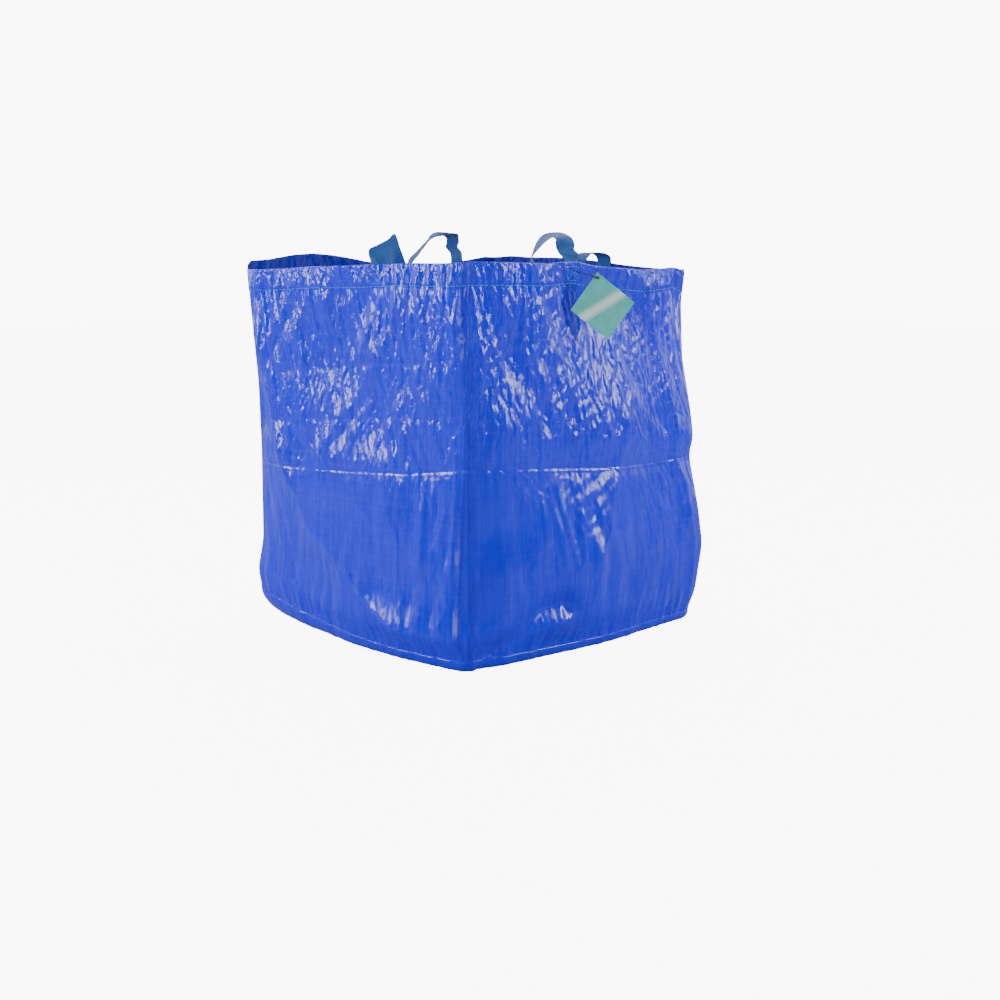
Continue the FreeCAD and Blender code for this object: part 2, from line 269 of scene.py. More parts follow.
def relief(face, s, t, rim, seam, crease):
    """How far the cloth stands out from its plain curved shape, in mm, and how much paler its creases are
    painted: partly stress whitening, partly a painted highlight.
    """
    seed = 100 * (face + 1)
    depth = rim - t
    edge = np.minimum(s + HALF, HALF - s)
    inside = smooth(edge / 22.0)
    out = np.zeros_like(s)
    # how much paler the cloth is painted along its creases: partly stress whitening, partly a painted
    # highlight where the creases catch the light
    wear = np.zeros_like(s)

    # the fold at mid height, where the bag is stored flat
    off = t - crease
    strength = 0.25 + 1.1 * noise(s / 60, t * 0, seed + 5)
    out -= 1.5 * strength * np.exp(-np.abs(off) / 8.0) * (0.25 + 0.75 * smooth(edge / 40))
    out += 0.3 * strength * np.exp(-((off + 2.5) / 2.2) ** 2)
    patchy = smooth(3.2 * noise(s / 26, t * 0 + 0.5, seed + 6) - 1.6)
    # a paler line in patches along the fold: stress whitening and a painted highlight
    wear += 0.8 * np.exp(-((off + 1.0) / 1.5) ** 2) * patchy

    # upright folds that hang from the hem, and crumpling between
    upper = np.exp(-np.maximum(0, depth - 20) / 120.0) * smooth(depth / 25 + 0.25)
    out += 2.6 * upper * folds(s, t, seed + 20, 5, 11, 26, 14) * inside
    out += 1.9 * (0.25 + 0.75 * smooth((t - crease) / 60)) * folds(s, t, seed + 40, 6, 16, 48, 50) * inside
    out += 0.8 * folds(s, t, seed + 60, 5, 9, 20, 70) * inside * (0.35 + 0.65 * smooth((t - 150) / 150))
    wave = 7.5 * (noise(s / 52, t / 80, seed + 7) - 0.5)
    out += wave * inside * (0.35 + 0.65 * smooth((t - crease + 20) / 60))
    out += 3.0 * (noise(s / 90, t / 60, seed + 9) - 0.5) * inside
    out += 0.8 * folds(s, t, seed + 61, 9, 4, 10, 65) * inside * (0.15 + 0.85 * smooth((t - crease - 5) / 50))
    # lower half: long shallow upright waves
    low = smooth((crease - t) / 60)
    out += 1.7 * low * folds(s, t, seed + 80, 4, 22, 60, 16) * inside
    # gathers that fan out of the base seam
    foot = t - seam
    out += 1.8 * np.exp(-foot / 26.0) * folds(s, t, seed + 90, 4, 9, 22, 30) * inside

    # the hem: two layers, pulled in by its row of stitches
    row = depth - (HEM - 3)
    pucker = 0.6 + 0.5 * np.sin(s / 1.9 + 5 * noise(s / 30, t * 0, seed + 8))
    out -= 1.1 * pucker * np.exp(-(row / 3.2) ** 2)
    out += 0.7 * smooth((HEM - depth) / 3.0)

    # the webbing ends show through the hem
    foot_middle = FOOT_PLACES[face] * HALF
    wide = smooth((WEBBING / 2 + 2 - np.abs(s - foot_middle)) / 2.5)
    out += 1.0 * wide * smooth((27 - depth) / 2.5)
    out += 1.2 * bump(s, foot_middle, 30) * np.exp(-depth / 60)

    if face == 0:
        d = side_of(s, t, DIAGONAL)
        fade = smooth((s + 225) / 40) * smooth(foot / 30)
        out += 14.0 * np.exp(-np.abs(d) / np.where(d > 0, 52.0, 120.0)) * fade
        # a paler line along the diagonal crease: stress whitening and a painted highlight
        wear += 0.5 * np.exp(-(d / 1.6) ** 2) * fade * smooth(3 * noise(s / 20, t / 20, 31) - 1.3)
        out += 7.0 * np.exp(-foot / 55.0) * bump(s, 80, 110)
        d = side_of(s, t, SECOND_CREASE)
        out -= 2.5 * np.exp(-np.abs(d) / 9.0) * smooth(edge / 20)
        for height, reach in ((305, 0.9), (375, 0.6)):
            line = t - (height + 0.08 * (s + 170) - 4 * noise(s / 50, t * 0, seed + height))
            out -= reach * np.exp(-np.abs(line) / 3.5) * smooth((s + 185) / 25) * inside
            # paler lines along these small folds: stress whitening and a painted highlight
            wear += 0.25 * np.exp(-(line / 1.3) ** 2) * inside
    if face == 1:
        d = side_of(s, t, RIGHT_CREASE)
        ridge = 5.0 * np.exp(-np.abs(d) / np.where(d > 0, 12.0, 30.0))
        out += ridge * smooth(edge / 14) * smooth(depth / 20 + 0.4)
        d = side_of(s, t, RIGHT_TURN)
        ridge = 15.0 * np.exp(-np.abs(d) / np.where(d > 0, 170.0, 62.0))
        out += ridge * smooth(foot / 40) * smooth(edge / 60)
        out += 10.0 * np.exp(-foot / 60.0) * bump(s, 20, 120)
        d = side_of(s, t, RIGHT_DENT)
        dent = 8.0 * np.exp(-((d - 6) / 15.0) ** 2) * smooth((150 - t) / 80)
        out -= dent * smooth((-20 - s) / 60) * smooth(edge / 25)
        # the cloth lies back behind the card
        behind_card = bump(s, 5, 75) * bump(t, 480, 60)
        out = np.where(out > 0, out * (1 - 0.8 * behind_card), out)
    return out * smooth(edge / 9.0), np.clip(wear, 0, 1)


def panel_grid(face, rows, cols):
    """Points, cloth coordinates and paler crease marks (stress whitening and painted highlight) of a side of
    the bag, in rows from the base seam to the rim.
    """
    up, across = np.meshgrid(rows, cols, indexing="ij")
    rim = rim_height(face, across)
    seam = seam_height(face, across)
    crease = np.interp(across, np.linspace(-1, 1, 5), CREASE_HEIGHTS[face])
    target = (crease - seam) / (rim - seam)
    share = up + (target - CREASE_ROW) / (CREASE_ROW * (1 - CREASE_ROW)) * up * (1 - up)
    height = seam + (rim - seam) * share
    x0, y0 = corner_plan(face, share)
    x1, y1 = corner_plan(face + 1, share)
    t = (across + 1) / 2
    s = across * HALF
    out, wear = relief(face, s, height, rim, seam, crease)
    out = out + bulge(share) * (1 - across ** 2)
    # rounded corners with a sunken seam
    edge = HALF - np.abs(s)
    side = np.sign(across)
    radius = np.where(side > 0, CORNER_ROUNDS[(face + 1) % 4], CORNER_ROUNDS[face])
    groove = 0.15 * np.exp(-edge / 1.2)
    round_off = 0.25 * radius * np.clip(1 - edge / radius, 0, 1) ** 2 + groove
    along = np.array([-OUTWARDS[face][1], OUTWARDS[face][0]])
    x = x0 + (x1 - x0) * t + OUTWARDS[face][0] * (out - round_off) - along[0] * side * round_off
    y = y0 + (y1 - y0) * t + OUTWARDS[face][1] * (out - round_off) - along[1] * side * round_off
    coords = np.stack([s, height, np.full_like(s, face * 700.0)], -1)
    return np.stack([x, y, height], -1), coords, wear


def spaced(count, fine, low=-1.0, high=1.0):
    """Values from low to high that lie closer together at the places in fine."""
    t = np.linspace(low, high, 4001)
    density = np.ones_like(t)
    for place, width in fine:
        density += 0.8 / width * 0.03 * np.exp(-((t - place) / width) ** 2) * 4
    total = np.concatenate([[0], np.cumsum((density[1:] + density[:-1]) / 2)])
    return np.interp(np.linspace(0, total[-1], count + 1), total, t)


# Columns across a side, closer together at its corners
ACROSS = spaced(COLS, ((-1, 0.03), (1, 0.03)))


# ---------------------------------------------------------------- cloths

def mesh_object(name, points, faces, attributes=()):
    """A mesh object from points in mm."""
    data = bpy.data.meshes.new(name)
    points = np.asarray(points, float).reshape(-1, 3) * MM
    data.from_pydata(points.tolist(), [], [list(map(int, f)) for f in faces])
    data.update()
    for key, values in attributes:
        values = np.asarray(values, float)
        if values.ndim == 1:
            layer = data.attributes.new(key, "FLOAT", "POINT")
            layer.data.foreach_set("value", values)
        else:
            layer = data.attributes.new(key, "FLOAT_VECTOR", "POINT")
            layer.data.foreach_set("vector", (values * MM).ravel())
    data.polygons.foreach_set("use_smooth", [True] * len(data.polygons))
    obj = bpy.data.objects.new(name, data)
    bpy.context.scene.collection.objects.link(obj)
    return obj


def grid_normals(grid):
    """Unit normals of a grid of points."""
    du = np.gradient(grid, axis=0)
    dv = np.gradient(grid, axis=1)
    n = np.cross(dv, du)
    return n / np.maximum(np.linalg.norm(n, axis=-1, keepdims=True), 1e-9)


def cloth_object(name, outer, normals, thick, coords, wear):
    """A cloth with an outer side, given as a grid of points, and an inner side that lies thick behind it."""
    rows, cols = outer.shape[:2]
    inner = outer - normals * thick
    points = np.concatenate([outer.reshape(-1, 3), inner.reshape(-1, 3)])
    index = np.arange(rows * cols).reshape(rows, cols)
    a, b, c, d = index[:-1, :-1], index[:-1, 1:], index[1:, 1:], index[1:, :-1]
    front = np.stack([a, b, c, d], -1).reshape(-1, 4)
    back = np.stack([d, c, b, a], -1).reshape(-1, 4) + rows * cols
    border = np.concatenate([index[0, :-1], index[:-1, -1], index[-1, :0:-1], index[:0:-1, 0]])
    following = np.roll(border, -1)
    rim = np.stack([following, border, border + rows * cols, following + rows * cols], -1)
    faces = np.concatenate([front, back, rim])
    two = np.concatenate([coords.reshape(-1, 3)] * 2)
    # the paler crease marks, stress whitening and painted highlight, go to both sides
    worn_and_highlight = np.concatenate([wear.ravel()] * 2)
    side = np.concatenate([np.zeros(rows * cols), np.ones(rows * cols)])
    return mesh_object(name, points, faces, (("cloth", two), ("wear", worn_and_highlight), ("inside", side)))


def outward(face):
    """The direction in which a side of the bag faces."""
    return np.array([OUTWARDS[face][0], OUTWARDS[face][1], 0.0])


def side_panel(face, material, shaded_hem_material):
    """One side of the bag: its panel, and its turned-in hem."""
    rows = spaced(ROWS, ((0, 0.04), (CREASE_ROW, 0.03), (1, 0.03)), 0.0, 1.0)
    outer, coords, wear = panel_grid(face, rows, ACROSS)
    out = outward(face)
    # over the rim in a half circle, and down inside
    top = outer[-1]
    fold = 1.35
    over, over_coords = [], []
    turns = (35, 70, 105, 140, 180)
    for turn in turns:
        a = math.radians(turn)
        over.append(top + out * (fold * (math.cos(a) - 1)) + np.array([0, 0, fold * math.sin(a)]))
        over_coords.append(coords[-1] + np.array([0, fold * a, 0]))
    down, down_coords = [], []
    levels = np.linspace(2.0, HEM, 15)
    for level in levels:
        row = np.empty_like(top)
        for i in range(len(ACROSS)):
            row[i] = [np.interp(top[i, 2] - level, outer[:, i, 2], outer[:, i, k]) for k in range(3)]
        row = row - out * 2 * fold
        wave = noise(coords[-1][:, 0] / 14, np.full(len(ACROSS), 3.3 + face), 900 + face) - 0.5
        row = row - out * (wave * 1.2 * level / HEM)[:, None].clip(-0.3)
        down.append(row)
        down_coords.append(coords[-1] + np.array([0, 4.0 + level, 0]))
    full = np.concatenate([outer, np.stack(over), np.stack(down)])
    full_coords = np.concatenate([coords, np.stack(over_coords), np.stack(down_coords)])
    # the fold over the rim is painted paler still: stress whitening and a painted highlight
    over_wear_and_highlight = np.tile(wear[-1] + 0.25, (len(turns), 1))
    full_wear_and_highlight = np.concatenate([wear, over_wear_and_highlight, np.tile(wear[-1], (len(levels), 1))])
    normals = grid_normals(full)
    cut = ROWS + 4
    pieces = []
    for name, part in (("_side", slice(cut)), ("_turned_hem", slice(cut - 1, None))):
        pieces.append(cloth_object(
            FACES[face] + name, full[part], normals[part], FABRIC, full_coords[part], full_wear_and_highlight[part],
        ))
    panel, hem = pieces
    for piece, node, slot in ((panel, "_panel", "laminated_fabric"), (hem, "_hem", "inner_fabric")):
        # the hem gets the darker cloth: painted shade for the inside of the bag
        piece.data.materials.append(shaded_hem_material if piece == hem else material)
        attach(piece, "bag")
        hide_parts(FACES[face] + node)
    return panel, hem, outer


# ---------------------------------------------------------------- tubes, strips and stitches

def tube(path, radius, sides=6, squash=1.0):
    """Points and faces of a closed tube along a path in mm."""
    path = np.asarray(path, float)
    tangents = np.gradient(path, axis=0)
    tangents /= np.maximum(np.linalg.norm(tangents, axis=1, keepdims=True), 1e-9)
    reference = np.array([0.0, 0.0, 1.0])
    if abs(tangents[len(path) // 2] @ reference) > 0.9:
        reference = np.array([1.0, 0.0, 0.0])
    first = np.cross(tangents, reference)
    first /= np.maximum(np.linalg.norm(first, axis=1, keepdims=True), 1e-9)
    second = np.cross(tangents, first)
    turns = np.arange(sides) * 2 * math.pi / sides
    radius = np.broadcast_to(np.asarray(radius, float), (len(path),))[:, None, None]
    ring = first[:, None] * np.cos(turns)[None, :, None]
    ring = ring + second[:, None] * (np.sin(turns)[None, :, None] * squash)
    points = path[:, None] + ring * radius
    faces = []
    for i in range(len(path) - 1):
        for j in range(sides):
            k = (j + 1) % sides
            faces.append((i * sides + j, i * sides + k, (i + 1) * sides + k, (i + 1) * sides + j))
    faces.append(tuple(range(sides))[::-1])
    faces.append(tuple((len(path) - 1) * sides + j for j in range(sides)))
    return points.reshape(-1, 3), faces


class Pile:
    """Several small meshes that become one object."""

    def __init__(self):
        self.points = []
        self.faces = []
        self.count = 0

    def add(self, points, faces):
        self.points.append(points)
        self.faces.extend(tuple(i + self.count for i in f) for f in faces)
        self.count += len(points)

    def build(self, name, material, node):
        points = np.concatenate(self.points)
        obj = mesh_object(name, points, self.faces, (("cloth", points),))
        obj.data.materials.append(material)
        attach(obj, "bag")
        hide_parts(node)


def resample(path, step):
    """A path in mm with points every step."""
    path = np.asarray(path, float)
    lengths = np.concatenate([[0], np.cumsum(np.linalg.norm(np.diff(path, axis=0), axis=1))])
    count = max(2, int(round(lengths[-1] / step)) + 1)
    at = np.linspace(0, lengths[-1], count)
    return np.stack([np.interp(at, lengths, path[:, k]) for k in range(3)], -1)


def stitches(pile, path, out, length=6.5, gap=1.6, radius=0.42):
    """A row of stitches along a path: each rises out of the cloth and dips back in."""
    step = 0.8
    fine = resample(path, step)
    per = int(round((length + gap) / step))
    used = int(round(length / step))
    start = 0
    while start + used < len(fine):
        part = fine[start:start + used + 1]
        lift = np.sin(np.linspace(0, math.pi, len(part)))
        line = part + np.asarray(out) * (0.55 * lift - 0.25)[:, None]
        keep = np.linspace(0, len(line) - 1, 6).round().astype(int)
        points, faces = tube(line[keep], radius, 6)
        pile.add(points, faces)
        start += per


def surface_line(outer, heights):
    """The line on a panel's outside at a height for each column."""
    line = []
    for i in range(outer.shape[1]):
        line.append([np.interp(heights[i], outer[:, i, 2], outer[:, i, k]) for k in range(3)])
    return np.stack(line)


# ---------------------------------------------------------------- materials

class Nodes:
    """A small helper for writing node trees."""

    def __init__(self, name):
        self.material = bpy.data.materials.new(name)
        self.material.use_nodes = True
        self.tree = self.material.node_tree
        self.shader = self.tree.nodes["Principled BSDF"]

    def new(self, kind, inputs=(), **settings):
        node = self.tree.nodes.new(kind)
        for key, value in settings.items():
            setattr(node, key, value)
        for key, value in dict(inputs).items():
            socket = node.inputs[key]
            if isinstance(value, bpy.types.NodeSocket):
                self.tree.links.new(value, socket)
            else:
                socket.default_value = value
        return node

    def math(self, operation, a, b=None, c=None):
        node = self.tree.nodes.new("ShaderNodeMath")
        node.operation = operation
        for socket, value in zip(node.inputs, (a, b, c)):
            if isinstance(value, bpy.types.NodeSocket):
                self.tree.links.new(value, socket)
            elif value is not None:
                socket.default_value = value
        return node.outputs[0]

    def attribute(self, name):
        return self.new("ShaderNodeAttribute", attribute_name=name)

    def scaled(self, vector, scale):
        return self.new("ShaderNodeVectorMath", {0: vector, 1: scale}, operation="MULTIPLY").outputs[0]

    def noise(self, vector, scale, detail=2.0, roughness=0.5):
        inputs = {"Vector": vector, "Scale": scale, "Detail": detail, "Roughness": roughness}
        return self.new("ShaderNodeTexNoise", inputs).outputs[0]

    def ramp(self, value, low, high, to_low=0.0, to_high=1.0):
        inputs = {"Value": value, "From Min": low, "From Max": high, "To Min": to_low, "To Max": to_high}
        return self.new("ShaderNodeMapRange", inputs).outputs[0]

    def mix(self, share, a, b):
        node = self.new("ShaderNodeMix", data_type="RGBA")
        for key, value in ((0, share), (6, a), (7, b)):
            socket = node.inputs[key]
            if isinstance(value, bpy.types.NodeSocket):
                self.tree.links.new(value, socket)
            else:
                socket.default_value = value
        return node.outputs[2]

    def bump(self, height, strength, distance, normal=None):
        inputs = {"Height": height, "Strength": strength, "Distance": distance}
        if normal is not None:
            inputs["Normal"] = normal
        return self.new("ShaderNodeBump", inputs).outputs[0]

    def set(self, **values):
        for key, value in values.items():
            socket = self.shader.inputs[key.replace("_", " ")]
            if isinstance(value, bpy.types.NodeSocket):
                self.tree.links.new(value, socket)
            else:
                socket.default_value = value


def rgb(r, g, b):
    """A linear colour from 0-255 screen values."""
    return tuple((v / 255) ** 2.2 for v in (r, g, b)) + (1.0,)


def laminate(name, light, dark, rough_low, specular):
    """Laminated cloth woven of flat plastic tapes."""
    n = Nodes(name)
    cloth = n.attribute("cloth").outputs["Vector"]
    wear = n.attribute("wear").outputs["Fac"]
    axes = n.new("ShaderNodeSeparateXYZ", {0: cloth})
    tape = 0.0022
    u = n.math("DIVIDE", axes.outputs[0], tape)
    v = n.math("DIVIDE", axes.outputs[1], tape)
    # tapes: crowned strips, over and under in turn
    cu = n.math("PINGPONG", u, 0.5)
    cv = n.math("PINGPONG", v, 0.5)
    crown_u = n.math("POWER", n.math("MULTIPLY", cu, 2.0), 0.35)
    crown_v = n.math("POWER", n.math("MULTIPLY", cv, 2.0), 0.35)
    turn = n.math("FRACT", n.math("MULTIPLY", n.math("ADD", n.math("FLOOR", u), n.math("FLOOR", v)), 0.5))
    over = n.math("GREATER_THAN", turn, 0.25)
    under = n.math("MULTIPLY", n.math("SUBTRACT", 1.0, over), crown_v)
    weave = n.math("ADD", n.math("MULTIPLY", over, crown_u), under)
    # tape to tape differences
    tapes = []
    for axis in (u, v):
        cell = n.new("ShaderNodeCombineXYZ", {0: n.math("FLOOR", axis), 1: axes.outputs[2]}).outputs[0]
        tapes.append(n.new("ShaderNodeTexWhiteNoise", {"Vector": cell}, noise_dimensions="2D").outputs[0])
    tapes_up, tapes_across = tapes
    streak = n.noise(n.scaled(cloth, (260.0, 22.0, 1.0)), 1.0, 3.0)
    mottling = n.noise(n.scaled(cloth, (26.0, 18.0, 1.0)), 1.0, 3.0)
    tone = n.math("ADD", n.math("MULTIPLY", tapes_up, 0.22), n.math("MULTIPLY", tapes_across, 0.12))
    tone = n.math("ADD", tone, n.math("MULTIPLY", streak, 0.5))
    tone = n.math("ADD", tone, n.math("MULTIPLY", mottling, 0.45))
    tone = n.ramp(tone, 0.35, 0.95)
    colour = n.mix(tone, dark, light)
    colour = n.mix(n.ramp(weave, 0.15, 0.8, 0.5, 0.0), colour, (0.0, 0.001, 0.25, 1.0))
    # paler specks where the creases are marked: stress whitening and a painted highlight
    specks = n.ramp(n.noise(n.scaled(cloth, (420.0, 420.0, 1.0)), 1.0, 2.0), 0.42, 0.62)
    whitening_and_highlight = n.math("MULTIPLY", wear, specks)
    colour = n.mix(n.math("MULTIPLY", whitening_and_highlight, 0.4), colour, (0.25, 0.35, 0.95, 1.0))
    # small facets and fine crinkles, softer near the base
    crinkle = n.noise(n.scaled(cloth, (300.0, 120.0, 1.0)), 1.0, 1.0, 0.5)
    warp_inputs = {"Vector": n.scaled(cloth, (60.0, 30.0, 1.0)), "Scale": 1.0, "Detail": 2.0}
    warp = n.new("ShaderNodeTexNoise", warp_inputs).outputs["Color"]
    bent = n.new("ShaderNodeVectorMath", {0: n.scaled(cloth, (80.0, 38.0, 1.0)), 1: warp}, operation="ADD")
    cell_inputs = {"Vector": bent.outputs[0], "Scale": 1.0, "Randomness": 1.0}
    cells = n.new("ShaderNodeTexVoronoi", cell_inputs, feature="F1").outputs["Distance"]
    upper = n.ramp(axes.outputs[1], 0.2, 0.34, 0.3, 1.0)
    normal = n.bump(n.math("MULTIPLY", cells, upper), 0.5, 0.0022)
    normal = n.bump(n.math("MULTIPLY", crinkle, upper), 0.5, 0.0010, normal)
    normal = n.bump(weave, 0.4, 0.00012, normal)
    scuffs = n.noise(n.scaled(cloth, (90.0, 60.0, 1.0)), 1.0, 3.0)
    rough = n.ramp(scuffs, 0.3, 0.7, rough_low, rough_low + 0.09)
    n.set(Base_Color=colour, Roughness=rough, Normal=normal, IOR=1.46)
    n.set(Specular_IOR_Level=specular)
    return n.material


def webbing():
    """Ribbed webbing: cords along the strap, with slanting ribs between them."""
    pitch = 0.0016
    n = Nodes("blue_webbing")
    cloth = n.attribute("cloth").outputs["Vector"]
    axes = n.new("ShaderNodeSeparateXYZ", {0: cloth})
    u = n.math("DIVIDE", axes.outputs[0], pitch)
    v = n.math("DIVIDE", axes.outputs[1], pitch * 0.7)
    lean = n.math("MULTIPLY", n.math("PINGPONG", u, 1.0), 1.1)
    rib = n.math("PINGPONG", n.math("ADD", v, lean), 0.5)
    cord = n.math("PINGPONG", u, 0.5)
    height = n.math("ADD", n.math("MULTIPLY", rib, 1.4), n.math("MULTIPLY", cord, 0.8))
    fibre = n.noise(n.scaled(cloth, (1500.0, 400.0, 900.0)), 1.0, 2.0)
    patch = n.noise(n.scaled(cloth, (60.0, 40.0, 60.0)), 1.0, 3.0)
    uneven = n.math("ADD", n.math("MULTIPLY", fibre, 0.35), n.math("MULTIPLY", patch, 0.4))
    tone = n.math("ADD", n.math("MULTIPLY", height, 0.55), uneven)
    colour = n.mix(n.ramp(tone, 0.5, 1.15), rgb(16, 66, 140), rgb(44, 126, 208))
    normal = n.bump(height, 0.8, 0.0005)
    normal = n.bump(fibre, 0.35, 0.0003, normal)
    n.set(Base_Color=colour, Roughness=0.62, Normal=normal, IOR=1.4)
    n.set(Sheen_Weight=0.25, Sheen_Roughness=0.4)
    return n.material


def simple(name, low, high, scale, roughness):
    """A material whose colour and surface vary a little, from noise."""
    n = Nodes(name)
    place = n.new("ShaderNodeTexCoord").outputs["Object"]
    grain = n.noise(place, scale, 3.0)
    colour = n.mix(n.ramp(grain, 0.3, 0.7), low, high)
    fine = n.noise(place, scale * 2.3, 3.0)
    n.set(Base_Color=colour, Roughness=roughness, Normal=n.bump(fine, 0.3, 0.0003))
    return n.material


# ---------------------------------------------------------------- handles

def catmull(points, per):
    """A smooth path through points."""
    points = np.asarray(points, float)
    padded = np.concatenate([[2 * points[0] - points[1]], points, [2 * points[-1] - points[-2]]])
    result = []
    for i in range(1, len(padded) - 2):
        p0, p1, p2, p3 = padded[i - 1:i + 3]
        for t in np.arange(per) / per:
            square = 2 * p0 - 5 * p1 + 4 * p2 - p3
            cube = 3 * p1 - p0 - 3 * p2 + p3
            result.append(0.5 * (2 * p1 + (p2 - p0) * t + square * t * t + cube * t ** 3))
    result.append(padded[-2])
    return np.array(result)


def strap(name, first, second, seed):
    """A flat woven strap between two edges, each given by points in mm."""
    per = 8
    one, two = catmull(first, per), catmull(second, per)
    ways = 13
    share = np.linspace(0, 1, ways)[None, :, None]
    grid = one[:, None] * (1 - share) + two[:, None] * share
    normals = grid_normals(grid)
    middle = (one + two) / 2
    along = np.concatenate([[0], np.cumsum(np.linalg.norm(np.diff(middle, axis=0), axis=1))])
    cross = np.linspace(-WEBBING / 2, WEBBING / 2, ways)
    s, t = np.meshgrid(cross, along)
    # long waves, a little curl at the edges, and thinner selvedges
    wave = (noise(t / 22, s * 0, seed) - 0.5) * 1.2
    wave = wave + 0.5 * (s / (WEBBING / 2)) ** 2 * (noise(t / 9, s * 0 + 5.5, seed) - 0.5)
    thick = 1.3 - 0.5 * np.abs(s / (WEBBING / 2)) ** 8
    outer = grid + normals * (wave + thick / 2)[..., None]
    coords = np.stack([s, t, np.full_like(s, seed)], -1)
    return cloth_object(name, outer, normals, thick[..., None], coords, np.zeros_like(s))


# Edges of the left handle, from its foot on the left side, over the mouth, to its foot on the front
LEFT_FIRST = (
    (-203, 150, 503), (-203, 150, 527), (-204, 149, 540),
    (-205, 140, 549), (-203, 140, 557), (-199, 134, 565),
    (-190, 116, 568), (-148, 74, 566), (-95, 18, 564), (-45, -38, 560), (-1, -88, 552), (33, -136, 536),
    (46, -166, 518), (46, -170, 496), (40, -174, 470), (48, -176, 462), (55, -180, 474), (58, -184, 498),
    (57, -194, 516), (60, -204, 522), (66, -211, 521), (69, -215, 522), (68, -219, 523), (68, -223, 523),
    (70, -228, 522), (71, -229, 520), (71, -229, 503),
)
LEFT_SECOND = (
    (-205, 177, 503), (-205, 177, 527), (-206, 176, 541),
    (-206, 167, 550), (-203, 167, 557), (-196, 160, 566),
    (-176, 138, 570), (-160, 101, 572), (-115, 38, 572), (-66, -18, 568), (-22, -66, 560), (13, -117, 545),
    (27, -148, 528), (29, -150, 498), (40, -150, 474), (56, -152, 472), (62, -164, 492), (62, -181, 524),
    (63, -193, 547), (64, -203, 566), (62, -214, 559), (58, -228, 552), (53, -239, 546), (51, -238, 538),
    (46, -231, 531), (44, -229, 524), (44, -229, 503),
)
# Edges of the right handle, from its foot on the right side to its foot on the back
RIGHT_FIRST = (
    (226, -49, 503), (226, -49, 531), (222, -53, 540), (219, -55, 546), (219, -57, 553), (221, -59, 559),
    (213, -58, 561), (201, -57, 556), (189, -58, 547), (179, -60, 536), (171, -59, 520), (146, -46, 490),
    (118, 0, 432), (84, 61, 386), (46, 120, 425), (40, 145, 482), (44, 160, 524), (45, 180, 539),
    (44, 198, 541), (42, 214, 540), (41, 226, 535), (41, 229, 524), (41, 229, 505),
)
RIGHT_SECOND = (
    (225, -21, 503), (225, -21, 531), (232, -26, 539), (227, -29, 545), (228, -30, 554), (221, -30, 562),
    (205, -31, 568), (187, -36, 568), (173, -38, 563), (162, -37, 551), (154, -33, 532), (160, -28, 492),
    (142, 15, 432), (109, 77, 386), (71, 136, 425), (63, 160, 480), (66, 168, 520), (66, 184, 538),
    (66, 200, 541), (68, 215, 540), (69, 226, 535), (68, 229, 524), (68, 229, 505),
)


# ---------------------------------------------------------------- build

add_camera()
string = add_string()

cloth_material = laminate("laminated_cloth", (0.0, 0.008, 0.95, 1.0), (0.0, 0.002, 0.6, 1.0), 0.08, 0.42)
# the turned-in hem gets a darker copy of the cloth, painted shade for the inside of the bag, and a rougher,
# less glossy surface
shaded_inner_material = laminate("inner_cloth_shaded", (0.0, 0.004, 0.45, 1.0), (0.0, 0.001, 0.26, 1.0), 0.4, 0.15)
webbing_material = webbing()
thread_material = simple("teal_thread", rgb(40, 128, 170), rgb(84, 182, 206), 2600.0, 0.5)
seam_material = simple("folded_seam", (0.0, 0.003, 0.5, 1.0), (0.0, 0.006, 0.75, 1.0), 700.0, 0.5)
nylon_material = simple("black_nylon_cord", rgb(8, 8, 9), rgb(26, 26, 28), 1800.0, 0.42)

outers = []
for face in range(4):
    panel, hem, outer = side_panel(face, cloth_material, shaded_inner_material)
    outers.append(outer)

# corner seams: two allowances sewn together, standing inwards by so many mm
ALLOWANCE = 8.0
for face in range(4):
    line = outers[face][:, -1]
    inward = -BASE_CORNERS[(face + 1) % 4] / (HALF * math.sqrt(2))
    inward = np.array([inward[0], inward[1], 0.0])
    across = np.array([-inward[1], inward[0], 0.0])
    deep = np.linspace(0, ALLOWANCE, 6)
    wave = (noise(line[:, 2] / 18, line[:, 2] * 0, 700 + face) - 0.5) * 3.0
    sway = across * (wave[:, None] * (deep / ALLOWANCE)[None])[..., None]
    grid = line[:, None] + inward * deep[None, :, None] + sway
    grid = grid[2:-3] + across * 0.6
    size = grid.shape[:2]
    coords = np.stack([np.broadcast_to(deep, size), grid[..., 2], np.full(size, 44.0)], -1)
    normals = np.broadcast_to(across, grid.shape)
    node = "corner_seam_%s_%s" % (FACES[face], FACES[(face + 1) % 4])
    seam = cloth_object(node + "_allowance", grid, normals, 1.2, coords, np.zeros(size))
    seam.data.materials.append(cloth_material)
    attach(seam, "bag")
    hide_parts(node)

# the base: its flat part ends at a share of the way out, and lies just above the floor
CURL_START = 0.95
BASE_HEIGHT = 0.6


def base_edge(face, across):
    """The lower edge of a side, where the base is sewn on."""
    line = outers[face][0]
    return np.stack([np.interp(across, ACROSS, line[:, k]) for k in range(3)], -1)


